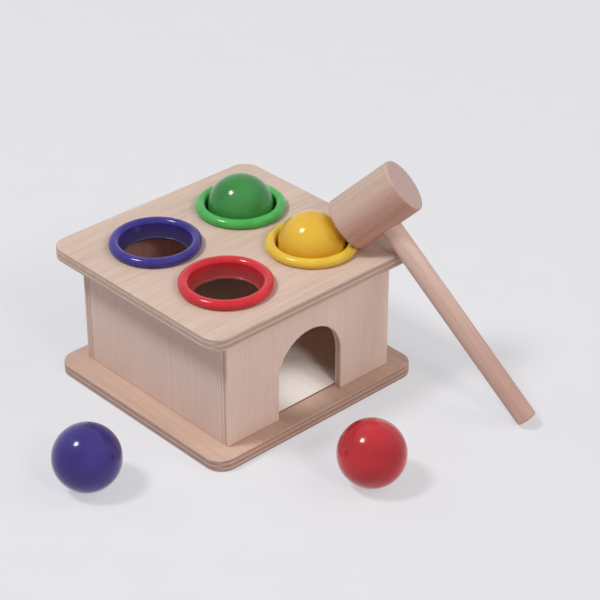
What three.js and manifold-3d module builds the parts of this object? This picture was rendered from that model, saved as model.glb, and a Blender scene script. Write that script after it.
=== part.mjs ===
// Ball pounding bench: a glued plywood box with four flexible collars in its top board,
// two balls seated in the collars, two balls that have been pounded through, and a mallet
// that leans on the bench. Millimetres, +Z up. The origin is on the ground under the middle
// of the box, and the arched front wall faces -Y.
import * as THREE from 'three';
import { mergeVertices } from 'three/addons/utils/BufferGeometryUtils.js';
import Module from 'manifold-3d';

const wasm = await Module();
wasm.setup();

// The box, whose width and depth come from the collars and the room round them
const wallHeight = 56.8;
const wallThickness = 4;
const glueLine = 0.1;

// The two boards and how far they stand out past the box
const topThickness = 6.5;
const baseThickness = 6.5;
const topSideOverhang = 11.5;
const topFrontOverhang = 5.5;
const topBackOverhang = 10.5;
const baseSideOverhang = 12.5;
const baseFrontOverhang = 8;
const baseBackOverhang = 9;
const boardCornerRadius = 9;
const boardEdgeRound = 0.9;

// The arched doorway
const archWidth = 39.5;
const archHeight = 41.5;

// Balls and the collars that hold them, with the room between the collars and to the walls
const ballRadius = 16;
const collarSpacingX = 9;
const collarSpacingY = 6;
const collarSideGap = 1.75;
const collarFrontGap = 5.25;
const collarBackGap = 3.25;
const collarBoreRadius = 15.3;
const collarBoreDepth = 4.05;
const collarBoreLength = 0.8;
const collarThroatRadius = 17;
const collarFlangeRadius = 22.25;
const collarLipHeight = 4.5;
const collarLipMiddle = 2;
const collarLipStart = THREE.MathUtils.degToRad(-40);
const collarLipEnd = THREE.MathUtils.degToRad(170);
const collarSleeveRadius = 18.2;
const collarUndercut = 0.75;
const collarFootInset = 0.8;
const collarHoleClearance = 0.3;
const seatGap = 0.3;

// The ramp inside the box
const rampAngle = THREE.MathUtils.degToRad(8);
const rampThickness = 3;
const rampLip = 0.8;
const rampClearance = 0.3;
const cleatWidth = 8;
const cleatSetback = 1;

// Glue blocks in the corners, and the pins and screws that hold the boards to them
const blockLeg = 12;
const pinInset = 3.6;
const dowelRadius = 2;
const dowelLength = 12;
const dowelChamfer = 0.4;
const dowelTopDepth = 4.2;
const screwShankRadius = 1.5;
const screwHeadRadius = 3;
const screwHeadHeight = 1.7;
const screwLength = 16;
const screwTipLength = 3;
const screwInset = 0.4;
const pinClearance = 0.15;

// The mallet, and the way it leans
const headRadius = 13.6;
const headLength = 35.2;
const headEdgeRound = 1.2;
const handleRadius = 5.1;
const handleReach = 123;
const handleDepth = 9;
const handleEdgeRound = 0.9;
const handleFit = 0.3;
const handleHeading = THREE.MathUtils.degToRad(-76.2);
const headRoll = THREE.MathUtils.degToRad(69);
const leanGap = 0.35;

// Balls on the ground, left and in front of the bench
const blueBallX = -110.8;
const blueBallY = -24.9;
const redBallX = -15.7;
const redBallY = -109;

// How far a cutting tool runs past what it cuts
const overrun = 2;

// Counts of facets
const holeSegments = 32;
const cornerSegments = 6;
const collarSegments = 32;
const lipSegments = 7;
const archSegments = 20;
const ballColumns = 24;
const ballRows = 16;
const headSegments = 36;
const handleSegments = 20;
const edgeSegments = 3;
const pinSegments = 12;

// Steps of the searches for the mallet's lean and place
const leanSteps = 40;
const slideSteps = 30;

// The collars stand two by two, and the box goes round them
const collarHoleRadius = collarSleeveRadius + collarHoleClearance;
const collarPitchX = 2 * collarFlangeRadius + collarSpacingX;
const collarPitchY = 2 * collarFlangeRadius + collarSpacingY;
const boxInsideWidth = collarPitchX + 2 * (collarHoleRadius + collarSideGap);
const boxInsideDepth = collarPitchY + 2 * collarHoleRadius + collarFrontGap + collarBackGap;
const boxWidth = boxInsideWidth + 2 * wallThickness;
const boxDepth = boxInsideDepth + 2 * wallThickness;

// Heights and edges worked out from the sizes above
const wallBottom = baseThickness + glueLine;
const wallTop = wallBottom + wallHeight;
const topUnderside = wallTop + glueLine;
const topSurface = topUnderside + topThickness;
const innerX = boxInsideWidth / 2;
const innerY = boxInsideDepth / 2;
const topFrontEdge = -(boxDepth / 2 + topFrontOverhang);
const boreTop = topSurface - collarBoreDepth;
const seatedBallZ = boreTop + Math.sqrt((ballRadius + seatGap) ** 2 - collarBoreRadius ** 2);

const beech = (name) => new THREE.MeshStandardMaterial({
  name, color: '#cbb6a3', roughness: 0.62, metalness: 0,
});
const paleWood = (name) => new THREE.MeshStandardMaterial({
  name, color: '#e0d2c2', roughness: 0.6, metalness: 0,
});
const hiddenWood = (name) => new THREE.MeshStandardMaterial({
  name, color: '#c3a98c', roughness: 0.7, metalness: 0,
});
const steel = (name) => new THREE.MeshStandardMaterial({
  name, color: '#b9b9b4', roughness: 0.35, metalness: 1,
});
const plastic = (name, color) => new THREE.MeshStandardMaterial({
  name, color, roughness: 0.25, metalness: 0,
});
const lacquer = (name, color) => new THREE.MeshStandardMaterial({
  name, color, roughness: 0.18, metalness: 0,
});
const paints = { blue: '#453a86', green: '#3fa04c', yellow: '#e0b62c', red: '#c9343f' };

// Solids: a closed geometry becomes a solid to be joined and cut, and comes back

function toSolid(geometry) {
  const bare = geometry.clone();
  bare.deleteAttribute('normal');
  bare.deleteAttribute('uv');
  const merged = mergeVertices(bare);
  return new wasm.Manifold(new wasm.Mesh({
    numProp: 3,
    vertProperties: new Float32Array(merged.attributes.position.array),
    triVerts: new Uint32Array(merged.index.array),
  }));
}

function fromSolid(solid) {
  const mesh = solid.getMesh();
  const geometry = new THREE.BufferGeometry();
  geometry.setAttribute('position', new THREE.BufferAttribute(mesh.vertProperties, 3));
  geometry.setIndex(new THREE.BufferAttribute(mesh.triVerts, 1));
  geometry.computeVertexNormals();
  return geometry;
}

function cutAway(geometry, tools) {
  let solid = toSolid(geometry);
  for (const tool of tools) solid = solid.subtract(toSolid(tool));
  return fromSolid(solid);
}

// Outlines

function arcPoints(centreX, centreY, radius, start, end, segments) {
  const points = [];
  for (let i = 0; i <= segments; i += 1) {
    const angle = start + ((end - start) * i) / segments;
    points.push(new THREE.Vector2(
      centreX + radius * Math.cos(angle),
      centreY + radius * Math.sin(angle),
    ));
  }
  return points;
}

function roundedOutline(left, right, front, back, radius) {
  const quarter = Math.PI / 2;
  return [
    ...arcPoints(right - radius, front + radius, radius, -quarter, 0, cornerSegments),
    ...arcPoints(right - radius, back - radius, radius, 0, quarter, cornerSegments),
    ...arcPoints(left + radius, back - radius, radius, quarter, 2 * quarter, cornerSegments),
    ...arcPoints(left + radius, front + radius, radius, 2 * quarter, 3 * quarter, cornerSegments),
  ];
}

function circleOutline(centreX, centreY, radius, segments) {
  return arcPoints(centreX, centreY, radius, 0, 2 * Math.PI, segments).slice(0, segments);
}

// A turned piece: its profile of radius and height is spun round +Z
function turned(profile, segments) {
  return new THREE.LatheGeometry(profile, segments).rotateX(Math.PI / 2);
}

// A board lying flat with softly rounded edges all round
function board(outline, holes, bottom, thickness) {
  const shape = new THREE.Shape(outline);
  for (const hole of holes) shape.holes.push(new THREE.Path(hole));
  const geometry = new THREE.ExtrudeGeometry(shape, {
    depth: thickness - 2 * boardEdgeRound,
    bevelThickness: boardEdgeRound,
    bevelSize: boardEdgeRound,
    bevelOffset: -boardEdgeRound,
    bevelSegments: 2,
  });
  return geometry.translate(0, 0, bottom + boardEdgeRound);
}

// A flat sheet standing on edge, drawn as it is seen from the front
function standingSheet(outline, thickness) {
  const geometry = new THREE.ExtrudeGeometry(new THREE.Shape(outline), {
    depth: thickness, bevelEnabled: false,
  });
  return geometry.rotateX(Math.PI / 2);
}

// A piece with one side profile (y, z) all along its width, from left to right
function profileAlongX(profile, left, right) {
  const geometry = new THREE.ExtrudeGeometry(new THREE.Shape(profile), {
    depth: right - left, bevelEnabled: false,
  });
  return geometry.rotateX(Math.PI / 2).rotateZ(Math.PI / 2).translate(left, 0, 0);
}

function box(left, right, front, back, bottom, top) {
  return new THREE.BoxGeometry(right - left, back - front, top - bottom)
    .translate((left + right) / 2, (front + back) / 2, (bottom + top) / 2);
}

// Where the collars and the corner blocks stand

const collarX = collarPitchX / 2;
const collarFrontY = -(innerY - collarFrontGap - collarHoleRadius);
const collarBackY = collarFrontY + collarPitchY;
const collarPlaces = {
  blue: { x: -collarX, y: collarBackY },
  green: { x: collarX, y: collarBackY },
  yellow: { x: collarX, y: collarFrontY },
  red: { x: -collarX, y: collarFrontY },
};

const corners = {
  front_left: { sideX: -1, sideY: -1 },
  front_right: { sideX: 1, sideY: -1 },
  back_left: { sideX: -1, sideY: 1 },
  back_right: { sideX: 1, sideY: 1 },
};
for (const corner of Object.values(corners)) {
  corner.x = corner.sideX * (innerX - pinInset);
  corner.y = corner.sideY * (innerY - pinInset);
}

// Pins and screws

function dowelProfile(length, radius) {
  return [
    new THREE.Vector2(0, 0),
    new THREE.Vector2(radius - dowelChamfer, 0),
    new THREE.Vector2(radius, dowelChamfer),
    new THREE.Vector2(radius, length - dowelChamfer),
    new THREE.Vector2(radius - dowelChamfer, length),
    new THREE.Vector2(0, length),
  ];
}

const dowelBottom = topUnderside + dowelTopDepth - dowelLength;

function dowel(place) {
  return turned(dowelProfile(dowelLength, dowelRadius), pinSegments)
    .translate(place.x, place.y, dowelBottom);
}

function dowelHole(place) {
  const clearance = 2 * pinClearance;
  return turned(dowelProfile(dowelLength + clearance, dowelRadius + pinClearance), pinSegments)
    .translate(place.x, place.y, dowelBottom - pinClearance);
}

// The countersunk head is flush with its seat, a little above the ground
function screwProfile(clearance) {
  const headBottom = clearance > 0 ? -overrun : 0;
  const headRadiusHere = screwHeadRadius + clearance;
  const shank = screwShankRadius + clearance;
  return [
    new THREE.Vector2(0, headBottom),
    new THREE.Vector2(headRadiusHere, headBottom),
    new THREE.Vector2(headRadiusHere, clearance),
    new THREE.Vector2(shank, screwHeadHeight + clearance),
    new THREE.Vector2(shank, screwLength - screwTipLength + clearance),
    new THREE.Vector2(0, screwLength + clearance),
  ];
}

function screw(place) {
  return turned(screwProfile(0), pinSegments).translate(place.x, place.y, screwInset);
}

function screwHole(place) {
  return turned(screwProfile(pinClearance), pinSegments)
    .translate(place.x, place.y, screwInset);
}

// The boards

function topBoard() {
  const outline = roundedOutline(
    -(boxWidth / 2 + topSideOverhang),
    boxWidth / 2 + topSideOverhang,
    topFrontEdge,
    boxDepth / 2 + topBackOverhang,
    boardCornerRadius,
  );
  const holes = Object.values(collarPlaces)
    .map((place) => circleOutline(place.x, place.y, collarHoleRadius, holeSegments));
  const slab = board(outline, holes, topUnderside, topThickness);
  return cutAway(slab, Object.values(corners).map(dowelHole));
}

function baseBoard() {
  const outline = roundedOutline(
    -(boxWidth / 2 + baseSideOverhang),
    boxWidth / 2 + baseSideOverhang,
    -(boxDepth / 2 + baseFrontOverhang),
    boxDepth / 2 + baseBackOverhang,
    boardCornerRadius,
  );
  const slab = board(outline, [], 0, baseThickness);
  return cutAway(slab, Object.values(corners).map(screwHole));
}

// The walls: front and back run the full width, and the sides stand between them

function archOutline() {
  const radius = archWidth / 2;
  const spring = wallBottom + archHeight - radius;
  return [
    new THREE.Vector2(boxWidth / 2, wallBottom),
    new THREE.Vector2(boxWidth / 2, wallTop),
    new THREE.Vector2(-boxWidth / 2, wallTop),
    new THREE.Vector2(-boxWidth / 2, wallBottom),
    new THREE.Vector2(-radius, wallBottom),
    ...arcPoints(0, spring, radius, Math.PI, 0, archSegments),
    new THREE.Vector2(radius, wallBottom),
  ];
}

function frontWall() {
  return standingSheet(archOutline(), wallThickness)
    .translate(0, -(boxDepth / 2 - wallThickness), 0);
}

function backWall() {
  return box(-boxWidth / 2, boxWidth / 2, innerY, boxDepth / 2, wallBottom, wallTop);
}

function sideWall(side) {
  const outside = (side * boxWidth) / 2;
  const inside = side * innerX;
  const reach = innerY - glueLine;
  const [left, right] = [Math.min(outside, inside), Math.max(outside, inside)];
  return box(left, right, -reach, reach, wallBottom, wallTop);
}

// A three-sided prism in a corner of the box, standing off the walls by a gap
function cornerPrism(corner, leg, gap, bottom, top) {
  const x = innerX - gap;
  const y = innerY - gap;
  const triangle = new THREE.Shape([
    new THREE.Vector2(corner.sideX * x, corner.sideY * y),
    new THREE.Vector2(corner.sideX * (x - leg), corner.sideY * y),
    new THREE.Vector2(corner.sideX * x, corner.sideY * (y - leg)),
  ]);
  return new THREE.ExtrudeGeometry(triangle, { depth: top - bottom, bevelEnabled: false })
    .translate(0, 0, bottom);
}

function cornerBlock(corner) {
  const block = cornerPrism(corner, blockLeg, glueLine, wallBottom, wallTop);
  return cutAway(block, [screwHole(corner), dowelHole(corner)]);
}

// The ramp slopes down to the doorway. Its front end is planed to a thin lip that lies on
// the base, and its corners are cut off to pass the corner blocks.

const rampFront = -(innerY - rampClearance);
const rampBack = innerY - rampClearance;
const rampFoot = baseThickness + glueLine;
const rampSlope = Math.tan(rampAngle);
const rampDrop = rampThickness / Math.cos(rampAngle);
const rampUndersideAt = (y) => rampFoot + rampLip + (y - rampFront) * rampSlope - rampDrop;
const rampLift = rampFront + (rampDrop - rampLip) / rampSlope;

function rampBoard() {
  const profile = [
    new THREE.Vector2(rampFront, rampFoot),
    new THREE.Vector2(rampLift, rampFoot),
    new THREE.Vector2(rampBack, rampUndersideAt(rampBack)),
    new THREE.Vector2(rampBack, rampUndersideAt(rampBack) + rampDrop),
    new THREE.Vector2(rampFront, rampFoot + rampLip),
  ];
  const half = innerX - rampClearance;
  const leg = blockLeg + 2 * (overrun + rampClearance);
  const cuts = Object.values(corners)
    .map((corner) => cornerPrism(corner, leg, -overrun, 0, wallTop));
  return cutAway(profileAlongX(profile, -half, half), cuts);
}

// A wedge under each side of the ramp
function rampCleat(side) {
  const outer = side * (innerX - glueLine);
  const inner = side * (innerX - glueLine - cleatWidth);
  const front = rampLift + (glueLine + cleatSetback) / rampSlope;
  const back = innerY - blockLeg - rampClearance;
  const profile = [
    new THREE.Vector2(front, rampFoot),
    new THREE.Vector2(back, rampFoot),
    new THREE.Vector2(back, rampUndersideAt(back) - glueLine),
    new THREE.Vector2(front, rampUndersideAt(front) - glueLine),
  ];
  return profileAlongX(profile, Math.min(outer, inner), Math.max(outer, inner));
}

// A collar: a round lip that stands on the board, a funnel down to the thin edge that grips
// the ball, and a sleeve that is pressed into the board's hole

function collarLip() {
  const middleRadius = (collarFlangeRadius + collarThroatRadius) / 2;
  const halfWidth = (collarFlangeRadius - collarThroatRadius) / 2;
  const rise = collarLipHeight - collarLipMiddle;
  const lip = [];
  for (let i = 0; i <= lipSegments; i += 1) {
    const turn = collarLipStart + ((collarLipEnd - collarLipStart) * i) / lipSegments;
    lip.push(new THREE.Vector2(
      middleRadius + halfWidth * Math.cos(turn),
      topSurface + collarLipMiddle + rise * Math.sin(turn),
    ));
  }
  return lip;
}

function collarProfile() {
  const boreBottom = boreTop - collarBoreLength;
  const sleeveBottom = boreBottom - collarUndercut;
  const throat = new THREE.Vector2(
    (collarThroatRadius + collarBoreRadius) / 2,
    (topSurface + boreTop) / 2,
  );
  const underLip = topSurface + glueLine;
  return [
    new THREE.Vector2(collarSleeveRadius, underLip),
    new THREE.Vector2(collarFlangeRadius - collarFootInset, underLip),
    ...collarLip(),
    throat,
    new THREE.Vector2(collarBoreRadius, boreTop),
    new THREE.Vector2(collarBoreRadius, boreBottom),
    new THREE.Vector2(collarBoreRadius + collarUndercut, sleeveBottom),
    new THREE.Vector2(collarSleeveRadius, sleeveBottom),
    new THREE.Vector2(collarSleeveRadius, underLip),
  ];
}

function collar(place) {
  return turned(collarProfile(), collarSegments).translate(place.x, place.y, 0);
}

function ball(x, y, z) {
  return new THREE.SphereGeometry(ballRadius, ballColumns, ballRows)
    .rotateX(Math.PI / 2)
    .translate(x, y, z);
}

// The mallet leans on the bench in three places: the rim of its head stands on the top board
// beside the yellow collar, its handle crosses the front edge of the board, and the end of the
// handle is on the ground. The lean is found from those three, and the head is then slid up
// to the yellow ball and its collar.

function leanAxes(pitch) {
  const handle = new THREE.Vector3(
    Math.cos(pitch) * Math.cos(handleHeading),
    Math.cos(pitch) * Math.sin(handleHeading),
    -Math.sin(pitch),
  );
  const level = new THREE.Vector3(-Math.sin(handleHeading), Math.cos(handleHeading), 0);
  const upright = handle.clone().cross(level);
  const head = level.multiplyScalar(Math.cos(headRoll)).addScaledVector(upright, Math.sin(headRoll));
  return { handle, head };
}

function headHeight(head) {
  const rimDrop = headRadius * Math.sqrt(1 - head.z ** 2);
  return topSurface + leanGap + (head.z * headLength) / 2 + rimDrop;
}

function leanPitch() {
  let pitch = Math.PI / 4;
  for (let i = 0; i < leanSteps; i += 1) {
    const { head } = leanAxes(pitch);
    const reach = Math.hypot(handleReach, handleRadius);
    pitch = Math.asin(headHeight(head) / reach) - Math.atan2(handleRadius, handleReach);
  }
  return pitch;
}

// Distance from a point to the surface of the head, negative inside it
function distanceToHead(point, centre, head) {
  const offset = point.clone().sub(centre);
  const along = offset.dot(head);
  const outward = offset.addScaledVector(head, -along).length() - headRadius;
  const beyond = Math.abs(along) - headLength / 2;
  if (outward > 0 && beyond > 0) return Math.hypot(outward, beyond);
  return Math.max(outward, beyond);
}

function malletClearance(centre, head) {
  const place = collarPlaces.yellow;
  const ballCentre = new THREE.Vector3(place.x, place.y, seatedBallZ);
  let least = distanceToHead(ballCentre, centre, head) - ballRadius;
  for (const rim of collarLip()) {
    for (let i = 0; i < 2 * collarSegments; i += 1) {
      const angle = (Math.PI * i) / collarSegments;
      const point = new THREE.Vector3(
        place.x + rim.x * Math.cos(angle),
        place.y + rim.x * Math.sin(angle),
        rim.y,
      );
      least = Math.min(least, distanceToHead(point, centre, head));
    }
  }
  return least;
}

function malletPlace() {
  const { handle, head } = leanAxes(leanPitch());
  const z = headHeight(head);
  const edge = new THREE.Vector2(-handle.z, handle.y).normalize();
  if (edge.y < 0) edge.negate();
  const y = topFrontEdge + (handleRadius + leanGap - (z - topSurface) * edge.y) / edge.x;
  let near = collarPlaces.yellow.x;
  let far = near + 2 * collarFlangeRadius;
  for (let i = 0; i < slideSteps; i += 1) {
    const middle = (near + far) / 2;
    const centre = new THREE.Vector3(middle, y, z);
    if (malletClearance(centre, head) < leanGap) near = middle;
    else far = middle;
  }
  return { centre: new THREE.Vector3(far, y, z), handle, head };
}

// The head lies along the group's Y, and the handle leaves it down the group's -Z

function malletHead() {
  const half = headLength / 2;
  const round = headEdgeRound;
  const corner = arcPoints(headRadius - round, half - round, round, 0, Math.PI / 2, edgeSegments);
  const profile = [
    new THREE.Vector2(0, -half),
    ...corner.map((point) => new THREE.Vector2(point.x, -point.y)).reverse(),
    ...corner,
    new THREE.Vector2(0, half),
  ];
  const block = new THREE.LatheGeometry(profile, headSegments);
  const reach = headRadius + overrun;
  const bore = new THREE.CylinderGeometry(
    handleRadius + handleFit,
    handleRadius + handleFit,
    reach + handleDepth - headRadius,
    handleSegments,
  );
  bore.rotateX(Math.PI / 2);
  bore.translate(0, 0, -(reach + headRadius - handleDepth) / 2);
  return cutAway(block, [bore]);
}

function malletHandle() {
  const start = headRadius - handleDepth + handleFit;
  const round = handleEdgeRound;
  const end = arcPoints(handleRadius - round, handleReach - round, round, 0, Math.PI / 2, edgeSegments);
  const profile = [
    new THREE.Vector2(0, start),
    new THREE.Vector2(handleRadius, start),
    ...end,
    new THREE.Vector2(0, handleReach),
  ];
  return new THREE.LatheGeometry(profile, handleSegments).rotateX(-Math.PI / 2);
}

// The assembly

const bench = new THREE.Group();

function place(name, geometry, material, parent = bench) {
  const mesh = new THREE.Mesh(geometry, material);
  mesh.name = name;
  parent.add(mesh);
}

place('base_board', baseBoard(), beech('base_board'));
place('top_board', topBoard(), beech('top_board'));
place('front_wall', frontWall(), beech('front_wall'));
place('back_wall', backWall(), beech('back_wall'));
place('left_wall', sideWall(-1), beech('left_wall'));
place('right_wall', sideWall(1), beech('right_wall'));
place('ramp_board', rampBoard(), paleWood('ramp_board'));
place('left_ramp_cleat', rampCleat(-1), hiddenWood('left_ramp_cleat'));
place('right_ramp_cleat', rampCleat(1), hiddenWood('right_ramp_cleat'));

for (const [name, corner] of Object.entries(corners)) {
  place(`${name}_block`, cornerBlock(corner), hiddenWood(`${name}_block`));
  place(`${name}_dowel`, dowel(corner), hiddenWood(`${name}_dowel`));
  place(`${name}_screw`, screw(corner), steel(`${name}_screw`));
}

for (const [colour, spot] of Object.entries(collarPlaces)) {
  place(`${colour}_collar`, collar(spot), plastic(`${colour}_collar`, paints[colour]));
}

const ballPlaces = {
  green: [collarPlaces.green.x, collarPlaces.green.y, seatedBallZ],
  yellow: [collarPlaces.yellow.x, collarPlaces.yellow.y, seatedBallZ],
  blue: [blueBallX, blueBallY, ballRadius],
  red: [redBallX, redBallY, ballRadius],
};
for (const [colour, spot] of Object.entries(ballPlaces)) {
  place(`${colour}_ball`, ball(...spot), lacquer(`${colour}_ball`, paints[colour]));
}

const mallet = new THREE.Group();
const lean = malletPlace();
const up = lean.handle.clone().negate();
const across = lean.head.clone().cross(up);
mallet.setRotationFromMatrix(new THREE.Matrix4().makeBasis(across, lean.head, up));
mallet.position.copy(lean.centre);
place('hammer_head', malletHead(), beech('hammer_head'), mallet);
place('hammer_handle', malletHandle(), beech('hammer_handle'), mallet);
bench.add(mallet);

export default bench;
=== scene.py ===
import bmesh
import bpy
import math
import numpy as np
from mathutils import Euler, Matrix, Vector


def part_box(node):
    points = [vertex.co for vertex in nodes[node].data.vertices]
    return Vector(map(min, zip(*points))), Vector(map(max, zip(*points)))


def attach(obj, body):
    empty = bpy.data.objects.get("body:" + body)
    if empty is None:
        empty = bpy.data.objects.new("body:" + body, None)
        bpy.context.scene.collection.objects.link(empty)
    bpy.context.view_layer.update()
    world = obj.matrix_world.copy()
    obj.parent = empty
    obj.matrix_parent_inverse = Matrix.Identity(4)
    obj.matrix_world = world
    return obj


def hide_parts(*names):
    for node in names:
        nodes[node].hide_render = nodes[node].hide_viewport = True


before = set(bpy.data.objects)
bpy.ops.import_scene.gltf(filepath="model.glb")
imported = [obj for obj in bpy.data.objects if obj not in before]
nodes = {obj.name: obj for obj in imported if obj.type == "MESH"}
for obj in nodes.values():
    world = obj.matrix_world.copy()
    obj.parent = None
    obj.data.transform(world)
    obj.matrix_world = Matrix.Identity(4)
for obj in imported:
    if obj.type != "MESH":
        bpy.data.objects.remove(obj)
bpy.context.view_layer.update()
print("frame:", len(nodes), "nodes")

mm = 0.001   # the pieces are measured in millimetres, the studio in metres


# meshes

weldDistance = 1e-6
cutWeldDistance = 2e-6   # a cut can meet an edge twice
axisRadius = 1e-6   # a ring thinner than this is one point on the axis
sanding = {"segments": 2, "fromAngle": 40, "flatAngle": 0.5}


def link(name, data):
    obj = bpy.data.objects.new(name, data)
    bpy.context.scene.collection.objects.link(obj)
    return obj


def middle(node):
    low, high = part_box(node)
    return (low + high) / 2


def welded(mesh, distance):
    bm = bmesh.new()
    bm.from_mesh(mesh)
    bmesh.ops.remove_doubles(bm, verts=bm.verts, dist=distance)
    return bm


def store(bm, mesh):
    bm.to_mesh(mesh)
    bm.free()


def shade(obj, sharpAngle, weighted=False):
    obj.data.shade_smooth()
    obj.data.set_sharp_from_angle(angle=math.radians(sharpAngle))
    if weighted:
        normals = obj.modifiers.new("evenNormals", "WEIGHTED_NORMAL")
        normals.keep_sharp = True


def arc(centre, radius, start, end, steps):
    # points on a circle, angles in degrees, the last point included
    points = []
    for i in range(steps + 1):
        angle = math.radians(start + (end - start) * i / steps)
        points.append((centre[0] + radius * math.cos(angle), centre[1] + radius * math.sin(angle)))
    return points


def turned(name, profile, steps, closed=False):
    # spins a profile of (radius, height) in millimetres round Z
    mesh = bpy.data.meshes.new(name)
    bm = bmesh.new()
    rings = []
    for radius, height in profile:
        if radius < axisRadius:
            rings.append([bm.verts.new((0, 0, height * mm))])
            continue
        ring = []
        for i in range(steps):
            angle = 2 * math.pi * i / steps
            x, y = radius * mm * math.cos(angle), radius * mm * math.sin(angle)
            ring.append(bm.verts.new((x, y, height * mm)))
        rings.append(ring)
    pairs = list(zip(rings, rings[1:]))
    if closed:
        pairs.append((rings[-1], rings[0]))
    for low, high in pairs:
        for i in range(steps):
            j = (i + 1) % steps
            if len(low) == 1:
                bm.faces.new((low[0], high[j], high[i]))
            elif len(high) == 1:
                bm.faces.new((low[i], low[j], high[0]))
            else:
                bm.faces.new((low[i], low[j], high[j], high[i]))
    bmesh.ops.recalc_face_normals(bm, faces=bm.faces)
    store(bm, mesh)
    return link(name, mesh)


def evaluatedMesh(obj):
    graph = bpy.context.evaluated_depsgraph_get()
    return bpy.data.meshes.new_from_object(obj.evaluated_get(graph))


def applyModifiers(obj):
    mesh = evaluatedMesh(obj)
    obj.modifiers.clear()
    obj.data = mesh
    return obj


def cutWith(obj, tools):
    for tool in tools:
        cut = obj.modifiers.new("cut", "BOOLEAN")
        cut.operation, cut.solver, cut.object = "DIFFERENCE", "EXACT", tool
    applyModifiers(obj)
    store(welded(obj.data, cutWeldDistance), obj.data)
    for tool in tools:
        bpy.data.objects.remove(tool)
    return obj


def softened(name, node, edge):
    # the CAD node's own shape with its sharp arrises sanded off
    mesh = nodes[node].data.copy()
    mesh.name = name
    mesh.materials.clear()
    bm = welded(mesh, weldDistance)
    flat = math.radians(sanding["flatAngle"])
    bmesh.ops.dissolve_limit(bm, angle_limit=flat, verts=bm.verts, edges=bm.edges)
    store(bm, mesh)
    obj = link(name, mesh)
    bevel = obj.modifiers.new("sanded", "BEVEL")
    bevel.width, bevel.segments, bevel.limit_method = edge * mm, sanding["segments"], "ANGLE"
    bevel.angle_limit = math.radians(sanding["fromAngle"])
    bevel.harden_normals = False
    return applyModifiers(obj)


# material nodes

socketNames = {
    "color": "Base Color", "roughness": "Roughness", "metallic": "Metallic", "ior": "IOR",
    "specular": "Specular IOR Level", "coat": "Coat Weight", "coatRoughness": "Coat Roughness",
    "coatIor": "Coat IOR", "normal": "Normal",
}
grainTurns = {"X": (0, 0, 0), "Y": (0, 0, -math.pi / 2), "Z": (0, math.pi / 2, 0)}


def linear(tone):
    out = []
    for value in tone:
        value /= 255
        out.append(value / 12.92 if value <= 0.04045 else ((value + 0.055) / 1.055) ** 2.4)
    return (*out, 1)


def deeper(tone, share):
    return tuple(channel * share for channel in tone)


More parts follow.
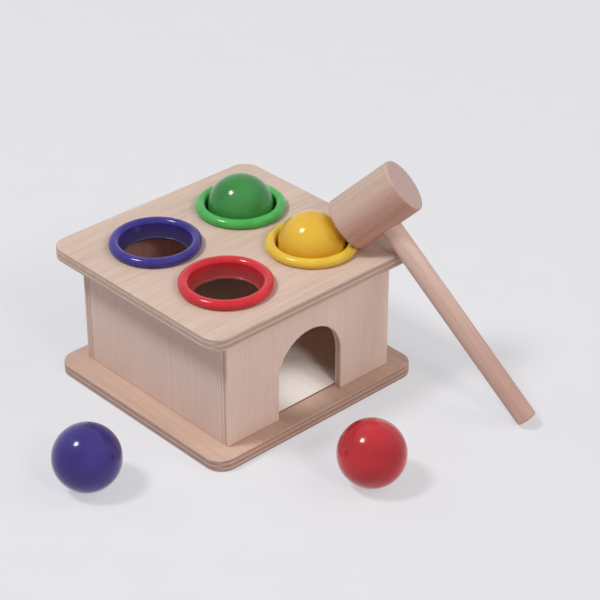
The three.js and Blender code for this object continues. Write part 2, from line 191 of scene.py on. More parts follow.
class Sheet:
    # a material's node sheet, with short calls for the nodes that are used here
    def __init__(self, name, place=None):
        self.material = bpy.data.materials.new(name)
        self.material.use_nodes = True
        self.tree = self.material.node_tree
        self.tree.nodes.clear()
        self.output = self.tree.nodes.new("ShaderNodeOutputMaterial")
        self.shader = self.tree.nodes.new("ShaderNodeBsdfPrincipled")
        self.join(self.shader.outputs[0], self.output.inputs["Surface"])
        coords = self.tree.nodes.new("ShaderNodeTexCoord")
        self.point, self.normal = coords.outputs["Object"], coords.outputs["Normal"]
        self.axes = {"X": Vector((1, 0, 0)), "Y": Vector((0, 1, 0)), "Z": Vector((0, 0, 1))}
        if place is not None:   # a piece that lies askew keeps its pattern in its own frame
            local = self.tree.nodes.new("ShaderNodeMapping")
            local.vector_type = "TEXTURE"
            local.inputs["Location"].default_value = place.translation
            local.inputs["Rotation"].default_value = place.to_euler()
            self.join(self.point, local.inputs["Vector"])
            self.point = local.outputs[0]
            turn = place.to_3x3()
            self.axes = {key: (turn @ axis).normalized() for key, axis in self.axes.items()}

    def join(self, source, target):
        self.tree.links.new(source, target)

    def feed(self, socket, value):
        if hasattr(value, "is_output"):
            self.join(value, socket)
        else:
            socket.default_value = value

    def math(self, operation, a, b=0.5, c=0.5, clamp=False):
        node = self.tree.nodes.new("ShaderNodeMath")
        node.operation, node.use_clamp = operation, clamp
        for socket, value in zip(node.inputs, (a, b, c)):
            self.feed(socket, value)
        return node.outputs[0]

    def dot(self, vector, direction):
        node = self.tree.nodes.new("ShaderNodeVectorMath")
        node.operation = "DOT_PRODUCT"
        self.feed(node.inputs[0], vector)
        node.inputs[1].default_value = direction
        return node.outputs["Value"]

    def stretched(self, grain, along, across):
        # object coordinates, turned so that the grain runs along X, then scaled
        aligned = self.tree.nodes.new("ShaderNodeMapping")
        aligned.inputs["Rotation"].default_value = grainTurns[grain]
        self.join(self.point, aligned.inputs["Vector"])
        scaled = self.tree.nodes.new("ShaderNodeMapping")
        scaled.inputs["Scale"].default_value = (along, across, across)
        self.join(aligned.outputs[0], scaled.inputs["Vector"])
        return scaled.outputs[0]

    def noise(self, vector, scale=1.0, detail=2.0, roughness=0.5, distortion=0.0):
        node = self.tree.nodes.new("ShaderNodeTexNoise")
        self.feed(node.inputs["Vector"], vector)
        node.inputs["Scale"].default_value = scale
        node.inputs["Detail"].default_value = detail
        node.inputs["Roughness"].default_value = roughness
        node.inputs["Distortion"].default_value = distortion
        return node.outputs["Fac"]

    def span(self, value, low, high, toLow=0.0, toHigh=1.0, smooth=True):
        node = self.tree.nodes.new("ShaderNodeMapRange")
        node.interpolation_type = "SMOOTHSTEP" if smooth else "LINEAR"
        self.feed(node.inputs["Value"], value)
        for key, number in (("From Min", low), ("From Max", high), ("To Min", toLow), ("To Max", toHigh)):
            node.inputs[key].default_value = number
        return node.outputs["Result"]

    def mix(self, factor, a, b):
        node = self.tree.nodes.new("ShaderNodeMix")
        node.data_type, node.blend_type = "RGBA", "MIX"
        for index, value in ((0, factor), (6, a), (7, b)):   # its sockets for colours are 6 and 7
            self.feed(node.inputs[index], value)
        return node.outputs[2]

    def bump(self, height, strength, distance):
        node = self.tree.nodes.new("ShaderNodeBump")
        node.inputs["Strength"].default_value = strength
        node.inputs["Distance"].default_value = distance
        self.join(height, node.inputs["Height"])
        return node.outputs[0]

    def set(self, **values):
        for key, value in values.items():
            self.feed(self.shader.inputs[socketNames[key]], value)


def dress(obj, material, body, slot, *replaced):
    obj.data.materials.clear()
    obj.data.materials.append(material)
    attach(obj, body)
    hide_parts(*replaced)


def paintNode(node, material):
    data = nodes[node].data
    data.materials.clear()
    data.materials.append(material)


# wood

woodFigures = {   # scales per metre along and across the grain
    "broad": {"along": 9, "across": 40, "detail": 2, "roughness": 0.5, "distortion": 0},
    "streaks": {"along": 14, "across": 420, "detail": 4, "roughness": 0.6, "distortion": 0.4},
    "fibres": {"along": 70, "across": 2600, "detail": 2, "roughness": 0.55, "distortion": 0},
    "waves": {"along": 5, "across": 95, "detail": 1, "roughness": 0.4, "distortion": 1.6},
    "flecks": {"along": 330, "across": 2300, "detail": 1, "roughness": 0.5, "distortion": 0},
    "pores": {"along": 300, "across": 2600, "detail": 2, "roughness": 0.7, "distortion": 0},
    "rings": {"along": 1, "across": 60, "detail": 1, "roughness": 0.5, "distortion": 0},
}
woodSpans = {   # between which values each figure starts and is full
    "broad": (0.3, 0.7), "streaks": (0.36, 0.68), "fibres": (0.4, 0.7), "waves": (-0.2, 1.0),
    "flecks": (0.66, 0.74), "pores": (0.35, 0.7), "rings": (-0.5, 1.0),
    "facing": (0.55, 0.95), "rawFacing": (0.7, 0.9), "glueLine": (0.40, 0.49), "gloss": (0.3, 0.7),
}
woodShares = {
    "broad": 0.2, "fibres": 0.12, "waveCount": 60, "pores": 0.6, "rings": 0.22, "ringCount": 90,
    "endDeep": 0.86, "rawShadeDeep": 0.84, "glossier": 0.05, "duller": 0.08, "coatRoughness": 0.32,
    "fleckHeight": -0.6, "poreHeight": 1.2, "bumpDistance": 0.00006,
}
woodDefaults = {
    "tone": (222, 201, 187), "deep": (194, 166, 151), "endTone": (202, 171, 153),
    "grain": "X", "cross": "Y", "streak": 0.3, "fleck": 0.3, "figure": 0.14,
    "roughness": 0.5, "coat": 0.1, "bump": 0.2, "paintedShade": None,
    "plyAxis": None, "plyLow": 0.0, "plyHigh": 0.0, "plies": 5,
    "glue": 0.65, "glueTone": (140, 102, 88), "rawFace": None, "rawShadeTone": None,
}


def wood(name, place=None, **changes):
    look = {**woodDefaults, **changes}
    shares, spans = woodShares, woodSpans
    s = Sheet(name, place)
    grain = look["grain"]
    figures = {}
    for kind, sizes in woodFigures.items():
        vector = s.stretched(grain, sizes["along"], sizes["across"])
        figures[kind] = s.noise(vector, detail=sizes["detail"], roughness=sizes["roughness"],
                                distortion=sizes["distortion"])
    streaks, fibres, pores = figures["streaks"], figures["fibres"], figures["pores"]
    waves = s.math("SINE", s.math("MULTIPLY", figures["waves"], shares["waveCount"]))
    flecks = s.span(figures["flecks"], *spans["flecks"])

    # how far each point is from the pale tone to the deep one
    depth = s.math("MULTIPLY", s.span(streaks, *spans["streaks"]), look["streak"])
    depth = s.math("MULTIPLY_ADD", s.span(figures["broad"], *spans["broad"]), shares["broad"], depth)
    depth = s.math("MULTIPLY_ADD", s.span(waves, *spans["waves"]), look["figure"], depth)
    depth = s.math("MULTIPLY_ADD", s.span(fibres, *spans["fibres"]), shares["fibres"], depth)
    depth = s.math("MULTIPLY_ADD", flecks, look["fleck"], depth, clamp=True)
    tone, deep = linear(look["tone"]), linear(look["deep"])
    if look["paintedShade"]:   # painted shade: a redder, darker tone towards one side or one end of the piece
        paintedShade = look["paintedShade"]
        paintedShadeShare = s.span(s.dot(s.point, (0, 0, 1)), paintedShade["from"] * mm, paintedShade["to"] * mm)
        tone = s.mix(paintedShadeShare, tone, linear(paintedShade["tone"]))
        deep = s.mix(paintedShadeShare, deep, linear(paintedShade["deep"]))
    face = s.mix(depth, tone, deep)

    # end grain, where the surface cuts across the fibres
    rings = s.math("SINE", s.math("MULTIPLY", figures["rings"], shares["ringCount"]))
    endDepth = s.math("MULTIPLY", s.span(pores, *spans["pores"]), shares["pores"])
    endDepth = s.math("MULTIPLY_ADD", s.span(rings, *spans["rings"]), shares["rings"], endDepth, clamp=True)
    deepEnd = deeper(look["endTone"], shares["endDeep"])
    endColor = s.mix(endDepth, linear(look["endTone"]), linear(deepEnd))
    alongGrain = s.math("ABSOLUTE", s.dot(s.normal, s.axes[grain]))
    endShare = s.span(alongGrain, *spans["facing"])

    if look["plyAxis"]:   # every second ply runs across, with a line of glue between two
        alongCross = s.math("ABSOLUTE", s.dot(s.normal, s.axes[look["cross"]]))
        crossShare = s.span(alongCross, *spans["facing"])
        through = s.dot(s.point, s.axes[look["plyAxis"]])
        layer = s.span(through, look["plyLow"], look["plyHigh"], 0, look["plies"], smooth=False)
        inside = s.math("MINIMUM", s.math("MAXIMUM", layer, 0.5), look["plies"] - 0.5)
        odd = s.math("MODULO", s.math("FLOOR", inside), 2)
        evenEnds = s.math("MULTIPLY", s.math("SUBTRACT", 1, odd), endShare)
        endShare = s.math("ADD", evenEnds, s.math("MULTIPLY", odd, crossShare), clamp=True)
    color = s.mix(endShare, face, endColor)
    if look["plyAxis"]:
        seam = s.math("ABSOLUTE", s.math("SUBTRACT", s.math("FRACT", inside), 0.5))
        glue = s.math("MULTIPLY", s.span(seam, *spans["glueLine"]), look["glue"])
        color = s.mix(glue, color, linear(look["glueTone"]))

    if look["rawFace"]:   # the face inside the box has no lacquer and a darker, redder tone, partly its own and partly painted shade inside the box
        rawShadeShare = s.span(s.dot(s.normal, look["rawFace"]), *spans["rawFacing"])
        rawShadeDeep = deeper(look["rawShadeTone"], shares["rawShadeDeep"])
        color = s.mix(rawShadeShare, color, s.mix(depth, linear(look["rawShadeTone"]), linear(rawShadeDeep)))

    height = s.math("MULTIPLY_ADD", flecks, shares["fleckHeight"], fibres)
    height = s.math("MULTIPLY_ADD", s.math("MULTIPLY", endShare, pores), shares["poreHeight"], height)
    glossy, dull = look["roughness"] - shares["glossier"], look["roughness"] + shares["duller"]
    s.set(color=color, roughness=s.span(streaks, *spans["gloss"], glossy, dull), coat=look["coat"],
          coatRoughness=shares["coatRoughness"], normal=s.bump(height, look["bump"], shares["bumpDistance"]))
    return s.material


# the two boards

collarNames = ("blue", "green", "yellow", "red")
cornerNames = ("front_left", "front_right", "back_left", "back_right")
boardLook = {
    "cornerRadius": 9, "edgeRound": 0.9, "holeRadius": 18.5, "sharpAngle": 40,
    "cornerSteps": 16, "holeSteps": 96, "edgeSteps": 4,
}
topWoodLook = {"grain": "X", "cross": "Y", "plyAxis": "Z", "plies": 5}
baseWoodLook = {
    "tone": (212, 184, 167), "deep": (188, 152, 134), "endTone": (184, 144, 130),
    "glueTone": (116, 78, 68), "grain": "Y", "cross": "X", "plyAxis": "Z", "plies": 5,
}
screwLook = {
    "headRadius": 3.0, "headHeight": 1.7, "shank": 1.5, "length": 16, "tip": 3, "inset": 0.4,
    "drillGap": 0.15, "drillStart": -2, "steps": 48, "sharpAngle": 30, "firstTurn": 17, "nextTurn": 31,
}


def roundedBoard(name, low, high, holes=()):
    # a flat board with round corners in plan, softened arrises and round holes
    look = boardLook
    inset = look["edgeRound"]
    left, right = low.x / mm + inset, high.x / mm - inset
    front, back = low.y / mm + inset, high.y / mm - inset
    radius = look["cornerRadius"] - inset
    corners = ((right - radius, front + radius, -90), (right - radius, back - radius, 0),
               (left + radius, back - radius, 90), (left + radius, front + radius, 180))
    outline = []
    for x, y, start in corners:
        outline += arc((x, y), radius, start, start + 90, look["cornerSteps"])
    loops = [outline]
    for x, y in holes:
        loops.append(arc((x, y), look["holeRadius"] + inset, 0, -360, look["holeSteps"])[:-1])
    curve = bpy.data.curves.new(name, "CURVE")
    curve.dimensions, curve.fill_mode = "2D", "BOTH"
    thickness = (high.z - low.z) / mm
    curve.extrude = (thickness / 2 - inset) * mm
    curve.bevel_depth, curve.bevel_resolution = inset * mm, look["edgeSteps"]
    for loop in loops:
        spline = curve.splines.new("POLY")
        spline.points.add(len(loop) - 1)
        for point, (x, y) in zip(spline.points, loop):
            point.co = (x * mm, y * mm, 0, 1)
        spline.use_cyclic_u = True
    maker = link(name, curve)
    mesh = evaluatedMesh(maker)
    bpy.data.objects.remove(maker)
    mesh.transform(Matrix.Translation((0, 0, (low.z + high.z) / 2)))
    bm = welded(mesh, weldDistance)
    bmesh.ops.recalc_face_normals(bm, faces=bm.faces)
    store(bm, mesh)
    mesh.materials.clear()
    return link(name, mesh)


def screwProfile(gap, start):
    look = screwLook
    points = [(0, start), (look["headRadius"] + gap, start)]
    if start < look["inset"]:   # a drill's shape runs on past the board
        points.append((look["headRadius"] + gap, look["inset"] + gap))
    return points + [(look["shank"] + gap, look["inset"] + look["headHeight"] + gap),
                     (look["shank"] + gap, look["inset"] + look["length"] - look["tip"]),
                     (0, look["inset"] + look["length"] + gap)]


low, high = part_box("top_board")
topHoles = []
for color in collarNames:
    spot = middle(color + "_collar")
    topHoles.append((spot.x / mm, spot.y / mm))
topBoard = roundedBoard("topBoard", low, high, topHoles)
shade(topBoard, boardLook["sharpAngle"], weighted=True)
topWood = wood("topBoardPlywood", plyLow=low.z, plyHigh=high.z, **topWoodLook)
dress(topBoard, topWood, "bench", "plywood", "top_board")

low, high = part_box("base_board")
baseBoard = roundedBoard("baseBoard", low, high)
drills = []
for corner in cornerNames:
    spot = middle(corner + "_screw")
    drillShape = screwProfile(screwLook["drillGap"], screwLook["drillStart"])
    drill = turned("drill", drillShape, screwLook["steps"])
    drill.location = (spot.x, spot.y, 0)
    drills.append(drill)
bpy.context.view_layer.update()
cutWith(baseBoard, drills)
shade(baseBoard, boardLook["sharpAngle"], weighted=True)
baseWood = wood("baseBoardPlywood", plyLow=low.z, plyHigh=high.z, **baseWoodLook)
dress(baseBoard, baseWood, "bench", "plywood", "base_board")
print("boards made")


# the walls

wallLook = {"edge": 0.3, "sharpAngle": 35}
wallWoodLook = {"grain": "Z", "plies": 3, "endTone": (216, 181, 164), "glue": 0.18, "streak": 0.13}
walls = {   # each wall's tones, the ways across its grain and through its plies, and its inner face; the front and left walls get paler tones than the back and right ones, as painted light
    "front": {"tone": (240, 217, 206), "deep": (221, 193, 180), "rawShadeTone": (242, 182, 164),
              "cross": "X", "plyAxis": "Y", "rawFace": (0, 1, 0)},
    # the back wall's inner tone is much darker than the others, as painted shade inside the box
    "back": {"tone": (224, 200, 187), "deep": (200, 170, 154), "rawShadeTone": (176, 128, 122),
             "cross": "X", "plyAxis": "Y", "rawFace": (0, -1, 0)},
    "left": {"tone": (234, 209, 198), "deep": (213, 182, 168), "rawShadeTone": (242, 182, 164),
             "cross": "Y", "plyAxis": "X", "rawFace": (1, 0, 0)},
    "right": {"tone": (224, 199, 187), "deep": (200, 170, 155), "rawShadeTone": (242, 182, 164),
              "cross": "Y", "plyAxis": "X", "rawFace": (-1, 0, 0)},
}
for side, tones in walls.items():
    node = side + "_wall"
    low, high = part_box(node)
    axis = "XYZ".index(tones["plyAxis"])
    wall = softened(side + "Wall", node, wallLook["edge"])
    shade(wall, wallLook["sharpAngle"], weighted=True)
    wallWood = wood(side + "WallPlywood", plyLow=low[axis], plyHigh=high[axis], **wallWoodLook, **tones)
    dress(wall, wallWood, "bench", "plywood", node)
print("walls made")


# ramp, cleats, glue blocks and dowels

rampLook = {"edge": 0.25, "sharpAngle": 35}
rampWoodLook = {
    # the end tone is darker than end grain alone: it also paints the shadow line at the ramp's front edge
    "tone": (250, 246, 242), "deep": (240, 230, 223), "endTone": (150, 102, 82),
    "grain": "Y", "fleck": 0.2,
}
sawnWoodLook = {
    "tone": (206, 178, 148), "deep": (170, 136, 106), "coat": 0.0, "roughness": 0.72, "bump": 0.5,
}

ramp = softened("rampBoard", "ramp_board", rampLook["edge"])
shade(ramp, rampLook["sharpAngle"], weighted=True)
dress(ramp, wood("rampPlywood", **rampWoodLook), "bench", "ramp_plywood", "ramp_board")

sawnWood = wood("sawnWood", grain="Z", **sawnWoodLook)
cleatWood = wood("cleatWood", grain="Y", **sawnWoodLook)
for corner in cornerNames:
    paintNode(corner + "_block", sawnWood)
    paintNode(corner + "_dowel", sawnWood)
for side in ("left", "right"):
    paintNode(side + "_ramp_cleat", cleatWood)
print("ramp and blocks made")


# screws

steelLook = {
    "tone": (196, 196, 190), "deep": (158, 158, 154), "cloudScale": 900, "clouds": (0.3, 0.7),
    "fineScale": 6000, "roughness": (0.28, 0.45), "bump": 0.15, "bumpDistance": 0.00002,
}
crossLook = {"length": 3.6, "width": 0.95, "start": -0.5, "depth": 1.3, "taper": 0.45, "keptWidth": 0.6}
wedgeCorners = ((-1, -1), (1, -1), (1, 1), (-1, 1))
wedgeFaces = ((3, 2, 1, 0), (4, 5, 6, 7), (0, 1, 5, 4), (1, 2, 6, 5), (2, 3, 7, 6), (3, 0, 4, 7))


def zincSteel(name):
    look = steelLook
    s = Sheet(name)
    cloud = s.noise(s.point, scale=look["cloudScale"], detail=4)
    fine = s.noise(s.point, scale=look["fineScale"], detail=2)
    color = s.mix(s.span(cloud, *look["clouds"]), linear(look["tone"]), linear(look["deep"]))
    s.set(color=color, metallic=1.0, roughness=s.span(cloud, *look["clouds"], *look["roughness"]),
          normal=s.bump(fine, look["bump"], look["bumpDistance"]))
    return s.material


def recessWedge(turn):
    # one slot of the cross, wide at the screw's face
    look = crossLook
    bm = bmesh.new()
    corners = []
    for share, z in ((1.0, look["start"]), (look["taper"], look["depth"])):
        widthShare = look["keptWidth"] + (1 - look["keptWidth"]) * share
        for sx, sy in wedgeCorners:
            x, y = sx * look["length"] / 2 * share, sy * look["width"] / 2 * widthShare
            corners.append(bm.verts.new((x * mm, y * mm, (z + screwLook["inset"]) * mm)))
    for face in wedgeFaces:
        bm.faces.new([corners[i] for i in face])
    bmesh.ops.recalc_face_normals(bm, faces=bm.faces)
    mesh = bpy.data.meshes.new("recess")
    store(bm, mesh)
    mesh.transform(Matrix.Rotation(turn, 4, "Z"))
    return link("recess", mesh)


steel = zincSteel("zincSteel")
for i, corner in enumerate(cornerNames):
    spot = middle(corner + "_screw")
    name = "screw" + corner.title().replace("_", "")
    screw = turned(name, screwProfile(0, screwLook["inset"]), screwLook["steps"])
    turn = math.radians(screwLook["firstTurn"] + screwLook["nextTurn"] * i)
    cutWith(screw, [recessWedge(turn), recessWedge(turn + math.pi / 2)])
    screw.data.transform(Matrix.Translation((spot.x, spot.y, 0)))
    shade(screw, screwLook["sharpAngle"])
    dress(screw, steel, "bench", "screw_steel", corner + "_screw")
print("screws made")


# collars

paints = {   # ball and its deeper clouds, collar and its deeper clouds, the collar's inside darkened as painted shade
    "blue": ((66, 55, 138), (56, 45, 122), (64, 54, 147), (54, 44, 133), (74, 68, 60)),
    "green": ((66, 149, 75), (54, 130, 63), (84, 188, 92), (70, 172, 80), (44, 96, 52)),
    "yellow": ((240, 196, 64), (230, 179, 54), (242, 208, 74), (232, 194, 62), (178, 130, 40)),
    "red": ((199, 49, 58), (180, 41, 50), (222, 47, 57), (205, 40, 49), (134, 84, 80)),
}
paintClouds = (0.35, 0.7)
plasticLook = {   # the painted shade and the duller roughness inside start above the board's top and are full below it
    "cloudScale": 90, "rippleScale": 420, "dustScale": 2400, "dust": (0.35, 0.8),
    "roughness": (0.2, 0.3), "shadeAndDullFrom": 2.6, "shadeAndDullFull": -1.5, "innerShadeShare": 0.55,
    "dullRoughness": 0.25, "bump": 0.1, "bumpDistance": 0.00008,
    "ior": 1.2, "coat": 0.8, "coatIor": 1.36, "coatRoughness": 0.11,
}
collarLook = {
    "steps": 128, "sharpAngle": 50, "flangeRadius": 22.22, "throatRadius": 17, "lipHeight": 4.5,
    "lipMiddle": 2.0, "lipStart": -42, "lipSweep": 218, "lipSteps": 26, "funnelSteps": 9,
    "funnelCurve": 1.4, "funnelBelly": 0.08, "boreRadius": 15.3, "boreDepth": 4.05,
    "boreLength": 0.8, "boreSteps": 8, "undercut": 0.75, "underStep": 0.2, "sleeveRadius": 18.2,
    "sleeveEdge": 0.25, "seat": 0.1, "footInset": 1.0, "footEdgeInset": 0.75, "footEdgeHeight": 0.1,
}


def plastic(name, tone, deep, innerShade, level):
    # moulded, slightly soft plastic with a polished face and a rougher inside, darkened there with painted
    # shade
    look = plasticLook
    s = Sheet(name)
    cloud = s.noise(s.point, scale=look["cloudScale"], detail=3)
    ripple = s.noise(s.point, scale=look["rippleScale"], detail=2)
    dust = s.noise(s.point, scale=look["dustScale"], detail=2)
    color = s.mix(s.span(cloud, *paintClouds), linear(tone), linear(deep))
    height = s.dot(s.point, s.axes["Z"])
    sunkShadeAndDull = s.span(height, level + look["shadeAndDullFrom"] * mm, level + look["shadeAndDullFull"] * mm)
    # painted shade: below the lip the colour darkens towards the inner tone
    color = s.mix(s.math("MULTIPLY", sunkShadeAndDull, look["innerShadeShare"]), color, linear(innerShade))
    rough = s.span(dust, *look["dust"], *look["roughness"])
    rough = s.math("ADD", rough, s.math("MULTIPLY", sunkShadeAndDull, look["dullRoughness"]))
    s.set(color=color, roughness=rough, ior=look["ior"], coat=look["coat"], coatIor=look["coatIor"],
          coatRoughness=look["coatRoughness"], normal=s.bump(ripple, look["bump"], look["bumpDistance"]))
    return s.material


def collarProfile(top):
    # the round lip, the funnel, the thin edge that grips a ball and the sleeve in the board
    look = collarLook
    middleRadius = (look["flangeRadius"] + look["throatRadius"]) / 2
    half = (look["flangeRadius"] - look["throatRadius"]) / 2
    lipLevel = top + look["lipMiddle"]
    rise = look["lipHeight"] - look["lipMiddle"]
    lip = []
    for i in range(look["lipSteps"] + 1):
        angle = math.radians(look["lipStart"] + look["lipSweep"] * i / look["lipSteps"])
        lip.append((middleRadius + half * math.cos(angle), lipLevel + rise * math.sin(angle)))
    throat, shoulder = lip[-1]
    edge = look["boreLength"] / 2
    boreTop = top - look["boreDepth"]
    narrowing = look["boreRadius"] + edge - throat
    funnel = []
    for i in range(1, look["funnelSteps"]):
        share = i / look["funnelSteps"]
        drop = share + look["funnelBelly"] * math.sin(math.pi * share)
        funnel.append((throat + narrowing * share ** look["funnelCurve"],
                       shoulder + (boreTop - shoulder) * drop))
    bore = arc((look["boreRadius"] + edge, boreTop - edge), edge, 90, 270, look["boreSteps"])
    bottom = boreTop - look["boreLength"] - look["undercut"]
    seatLevel = top + look["seat"]
    sleeve = [(look["boreRadius"] + look["undercut"] + look["underStep"], bottom),
              (look["sleeveRadius"] - look["sleeveEdge"], bottom),
              (look["sleeveRadius"], bottom + look["sleeveEdge"]), (look["sleeveRadius"], seatLevel)]
    foot = [(look["flangeRadius"] - look["footInset"], seatLevel),
            (look["flangeRadius"] - look["footEdgeInset"], seatLevel + look["footEdgeHeight"])]
    return foot + lip + funnel + bore + sleeve


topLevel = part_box("top_board")[1].z
for color in collarNames:
    spot = middle(color + "_collar")
    collar = turned(color + "Collar", collarProfile(topLevel / mm), collarLook["steps"], closed=True)
    collar.data.transform(Matrix.Translation((spot.x, spot.y, 0)))
    shade(collar, collarLook["sharpAngle"])
    tone, deep, innerShade = paints[color][2:]
    collarPlastic = plastic(color + "CollarPlastic", tone, deep, innerShade, topLevel)
    dress(collar, collarPlastic, "bench", color + "_plastic", color + "_collar")
print("collars made")


# balls

lacquerLook = {
    "cloudScale": 55, "grainAlong": 60, "grainAcross": 900, "grainHeight": 0.6, "peelScale": 1300,
    "hazeScale": 160, "haze": (0.3, 0.75), "roughness": (0.17, 0.27),
    "bump": 0.12, "bumpDistance": 0.00003,
    "ior": 1.2, "coat": 0.8, "coatIor": 1.33, "coatRoughness": 0.11,
}
ballLook = {
    "radius": 16, "columns": 96, "rows": 64, "sharpAngle": 60, "markRadius": 1.7, "markDepth": 0.12,
    "tilts": {"blue": (64, 10, 40), "green": (70, 25, 10), "yellow": (75, -20, 80), "red": (115, 15, -30)},
}


def lacquer(name, tone, deep, place):
    # gloss paint over a turned wooden ball
    look = lacquerLook
    s = Sheet(name, place)
    cloud = s.noise(s.point, scale=look["cloudScale"], detail=3)
    grainLines = s.noise(s.stretched("Z", look["grainAlong"], look["grainAcross"]), detail=2)
    peel = s.noise(s.point, scale=look["peelScale"], detail=2)
    haze = s.noise(s.point, scale=look["hazeScale"], detail=4)
    color = s.mix(s.span(cloud, *paintClouds), linear(tone), linear(deep))
    rough = s.span(haze, *look["haze"], *look["roughness"])
    height = s.math("MULTIPLY_ADD", grainLines, look["grainHeight"], peel)
    s.set(color=color, roughness=rough, ior=look["ior"], coat=look["coat"], coatIor=look["coatIor"],
          coatRoughness=look["coatRoughness"], normal=s.bump(height, look["bump"], look["bumpDistance"]))
    return s.material


def ballProfile():
    look = ballLook
    points = []
    for i in range(look["rows"] + 1):
        angle = -math.pi / 2 + math.pi * i / look["rows"]
        radius, height = look["radius"] * math.cos(angle), look["radius"] * math.sin(angle)
        if radius < look["markRadius"]:   # the small mark that the lathe leaves at each end
            dip = look["markDepth"] * max(0.0, 1 - (radius / look["markRadius"]) ** 2)
            height -= math.copysign(dip, height)
        points.append((max(radius, 0), height))
    return points


for color in collarNames:
    spot = middle(color + "_ball")
    ball = turned(color + "Ball", ballProfile(), ballLook["columns"])
    tilt = Euler([math.radians(angle) for angle in ballLook["tilts"][color]])
    place = Matrix.Translation(spot) @ tilt.to_matrix().to_4x4()
    ball.data.transform(place)
    shade(ball, ballLook["sharpAngle"])
    tone, deep = paints[color][:2]
    ballLacquer = lacquer(color + "BallLacquer", tone, deep, place)
    dress(ball, ballLacquer, color + "_ball", color + "_lacquer", color + "_ball")
print("balls made")


# mallet

rodEdgeSteps = 6
headLook = {
    "radius": 13.57, "length": 35.2, "edge": 1.2, "steps": 96, "sharpAngle": 35,
    "boreGap": 0.12, "boreDepth": 9, "boreRunOut": 4,
}
headWoodLook = {
    "tone": (211, 188, 174), "deep": (179, 146, 131), "endTone": (214, 186, 180), "grain": "Y",
    "streak": 0.24, "fleck": 0.5, "figure": 0.1, "roughness": 0.55, "coat": 0.06,
    # painted shade: redder and darker towards the head's lower side
    "paintedShade": {"from": 12, "to": -12, "tone": (206, 158, 142), "deep": (172, 120, 105)},
}
handleLook = {"radius": 5.06, "reach": 123, "edge": 0.9, "endGap": 0.3, "steps": 64, "sharpAngle": 35}
handleWoodLook = {
    "tone": (236, 208, 196), "deep": (207, 175, 161), "endTone": (192, 160, 148), "grain": "Z",
    "streak": 0.3, "fleck": 0.45, "figure": 0.1, "roughness": 0.55, "coat": 0.06,
    # painted shade: redder and darker towards the handle's foot
    "paintedShade": {"from": -15, "to": -115, "tone": (211, 176, 163), "deep": (183, 143, 129)},
}


def widestFacing(node):
    # the direction that most of a node's flat surface faces
    found = {}
    for face in nodes[node].data.polygons:
        key = tuple(round(v, 2) for v in face.normal)
        area, normal = found.get(key, (0.0, Vector()))
        found[key] = (area + face.area, normal + face.normal * face.area)
    area, normal = max(found.values(), key=lambda pair: pair[0])
    return normal.normalized()


def nodePoints(node):
    return np.array([vertex.co[:] for vertex in nodes[node].data.vertices])


def halfway(points, axis):
    along = points @ np.array(axis)
    return axis * ((along.min() + along.max()) / 2)


def malletFrame():
    # the head's middle, with Y along the head and Z up the handle
    headAxis = widestFacing("hammer_head")
    if headAxis.z < 0:
        headAxis.negate()
    handlePoints = nodePoints("hammer_handle")
    spread = np.linalg.svd(handlePoints - handlePoints.mean(0), full_matrices=False)[2][0]
    up = Vector(spread)
    if up.z < 0:
        up.negate()
    across = headAxis.cross(up).normalized()
    up = across.cross(headAxis).normalized()
    headPoints = nodePoints("hammer_head")
    centre = halfway(headPoints, headAxis) + halfway(headPoints, across) + halfway(headPoints, up)
    matrix = Matrix((across, headAxis, up)).transposed().to_4x4()
    matrix.translation = centre
    return matrix


def rodProfile(low, high, radius, lowEdge, highEdge):
    points = [(0, low)]
    points += arc((radius - lowEdge, low + lowEdge), lowEdge, -90, 0, rodEdgeSteps)
    if highEdge:
        points += arc((radius - highEdge, high - highEdge), highEdge, 0, 90, rodEdgeSteps)
    else:
        points.append((radius, high))
    return points + [(0, high)]


def malletHead():
    look = headLook
    half = look["length"] / 2
    rod = rodProfile(-half, half, look["radius"], look["edge"], look["edge"])
    head = turned("malletHead", rod, look["steps"])
    head.data.transform(Matrix.Rotation(-math.pi / 2, 4, "X"))
    boreRadius = handleLook["radius"] + look["boreGap"]
    low, high = -look["radius"] - look["boreRunOut"], -look["radius"] + look["boreDepth"]
    bore = turned("bore", [(0, low), (boreRadius, low), (boreRadius, high), (0, high)], look["steps"])
    return cutWith(head, [bore])


def malletHandle():
    look = handleLook
    top = -(headLook["radius"] - headLook["boreDepth"] + look["endGap"])
    rod = rodProfile(-look["reach"], top, look["radius"], look["edge"], 0)
    return turned("malletHandle", rod, look["steps"])


malletPlace = malletFrame()
head = malletHead()
head.data.transform(malletPlace)
shade(head, headLook["sharpAngle"], weighted=True)
dress(head, wood("malletHeadBeech", malletPlace, **headWoodLook), "hammer", "beech", "hammer_head")

handle = malletHandle()
handle.data.transform(malletPlace)
shade(handle, handleLook["sharpAngle"], weighted=True)
dress(handle, wood("malletHandleBeech", malletPlace, **handleWoodLook), "hammer", "beech", "hammer_handle")
print("mallet made")


# floor and world

backdropColor = (230, 231, 236)
floorLook = {   # the floor turns into the backdrop's plain colour further out
    "size": 6.0, "steps": 12, "color": (214, 214, 217), "mottle": 0.98, "mottleScale": 40,
    "mottles": (0.3, 0.7), "roughness": 0.85, "specular": 0.2,
    "nearGlow": 0.5, "nearGlowColor": (248, 249, 255), "fade": (0.45, 1.3),
}
worldLook = {"color": (1.0, 0.89, 0.83), "strength": 0.15}


def backgroundRays(tree):
    # what looks at the background: the camera, mirrors and glass
    path = tree.nodes.new("ShaderNodeLightPath")
    seen = path.outputs["Is Camera Ray"]
    for ray in ("Is Glossy Ray", "Is Transmission Ray"):
        either = tree.nodes.new("ShaderNodeMath")
        either.operation = "MAXIMUM"
        tree.links.new(seen, either.inputs[0])
        tree.links.new(path.outputs[ray], either.inputs[1])
        seen = either.outputs[0]
    return seen


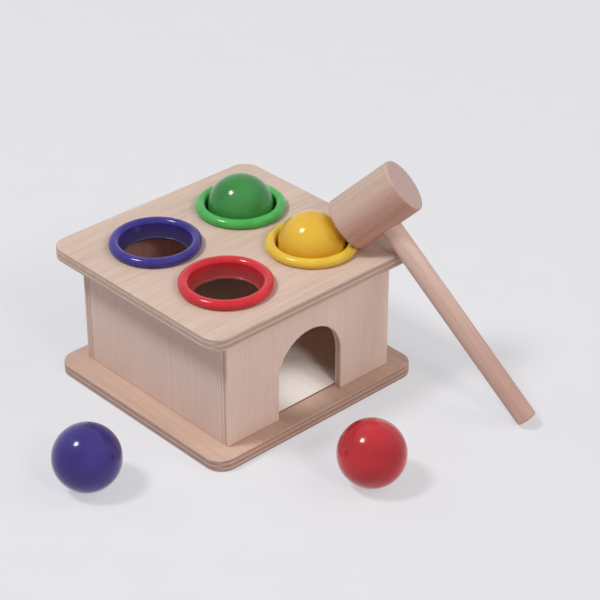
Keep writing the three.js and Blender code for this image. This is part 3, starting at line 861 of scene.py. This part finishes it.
def floorMesh():
    size, steps = floorLook["size"], floorLook["steps"]
    verts = []
    for j in range(steps + 1):
        for i in range(steps + 1):
            verts.append((size * (i / steps - 0.5), size * (j / steps - 0.5), 0))
    faces = []
    for j in range(steps):
        for i in range(steps):
            near, far = j * (steps + 1) + i, (j + 1) * (steps + 1) + i
            faces.append((near, near + 1, far + 1, far))
    mesh = bpy.data.meshes.new("studioFloor")
    mesh.from_pydata(verts, [], faces)
    return mesh


def makeFloor():
    look = floorLook
    s = Sheet("studioFloor")
    floor = link("studioFloor", floorMesh())
    grainy = s.noise(s.point, scale=look["mottleScale"], detail=3)
    pale = linear(look["color"])
    mottled = (*deeper(pale[:3], look["mottle"]), 1)
    s.set(color=s.mix(s.span(grainy, *look["mottles"]), pale, mottled),
          roughness=look["roughness"], specular=look["specular"])
    length = s.tree.nodes.new("ShaderNodeVectorMath")
    length.operation = "LENGTH"
    s.join(s.point, length.inputs[0])
    far = s.span(length.outputs["Value"], *look["fade"])
    glow = s.tree.nodes.new("ShaderNodeEmission")
    s.join(s.mix(far, linear(look["nearGlowColor"]), linear(backdropColor)), glow.inputs["Color"])
    glowShare = s.span(far, 0, 1, look["nearGlow"], 1, smooth=False)
    blend = s.tree.nodes.new("ShaderNodeMixShader")
    s.join(s.math("MULTIPLY", glowShare, backgroundRays(s.tree)), blend.inputs[0])
    s.join(s.shader.outputs[0], blend.inputs[1])
    s.join(glow.outputs[0], blend.inputs[2])
    s.join(blend.outputs[0], s.output.inputs["Surface"])
    floor.data.materials.append(s.material)


def makeWorld():
    world = bpy.data.worlds.new("studioWorld")
    bpy.context.scene.world = world
    world.use_nodes = True
    tree = world.node_tree
    tree.nodes.clear()
    output = tree.nodes.new("ShaderNodeOutputWorld")
    soft = tree.nodes.new("ShaderNodeBackground")
    soft.inputs["Color"].default_value = (*worldLook["color"], 1)
    soft.inputs["Strength"].default_value = worldLook["strength"]
    back = tree.nodes.new("ShaderNodeBackground")
    back.inputs["Color"].default_value = linear(backdropColor)
    back.inputs["Strength"].default_value = 1
    blend = tree.nodes.new("ShaderNodeMixShader")
    tree.links.new(backgroundRays(tree), blend.inputs[0])
    tree.links.new(soft.outputs[0], blend.inputs[1])
    tree.links.new(back.outputs[0], blend.inputs[2])
    tree.links.new(blend.outputs[0], output.inputs["Surface"])


# lamps and camera

lampDistance, lampTarget = 3.1, (0, -0.01, 0.04)
white, fill = (1, 1, 1), (1.0, 0.93, 0.87)
fromLeft, fromFront = (-0.446, 0.232, 0.860), (-0.11, -0.80, 0.59)
fromRight, fromBack = (0.520, -0.530, 0.675), (-0.30, 0.70, 0.65)
lamps = {   # each is a round soft box: where it stands, its size in metres and its power in watts
    "keyLamp": {"way": fromLeft, "size": 0.7, "power": 51, "color": white, "mirrored": True},
    "frontLamp": {"way": fromFront, "size": 0.7, "power": 22, "color": fill, "mirrored": False},
    "rightLamp": {"way": fromRight, "size": 2.2, "power": 25, "color": fill, "mirrored": False},
    "backLamp": {"way": fromBack, "size": 1.6, "power": 8, "color": white, "mirrored": False},
}
cameraLook = {
    "place": (-0.5326, -0.6180, 0.5414), "target": (0.012, -0.032, 0.050), "lens": 120,
    "sensorWidth": 36, "nearest": 0.05, "farthest": 20,
}


def makeLamp(name, look):
    data = bpy.data.lights.new(name, "AREA")
    data.shape, data.size, data.energy, data.color = "DISK", look["size"], look["power"], look["color"]
    lamp = link(name, data)
    way = Vector(look["way"]).normalized()
    lamp.location = Vector(lampTarget) + way * lampDistance
    lamp.rotation_euler = way.to_track_quat("Z", "Y").to_euler()
    lamp.visible_glossy = look["mirrored"]


def makeCamera():
    look = cameraLook
    data = bpy.data.cameras.new("camera")
    data.lens, data.sensor_width = look["lens"], look["sensorWidth"]
    data.clip_start, data.clip_end = look["nearest"], look["farthest"]
    camera = link("camera", data)
    camera.location = look["place"]
    way = Vector(look["place"]) - Vector(look["target"])
    camera.rotation_euler = way.to_track_quat("Z", "Y").to_euler()
    bpy.context.scene.camera = camera


makeFloor()
makeWorld()
for lampName, lampLook in lamps.items():
    makeLamp(lampName, lampLook)
makeCamera()
bpy.context.scene.view_settings.view_transform = "Standard"
print("studio made")
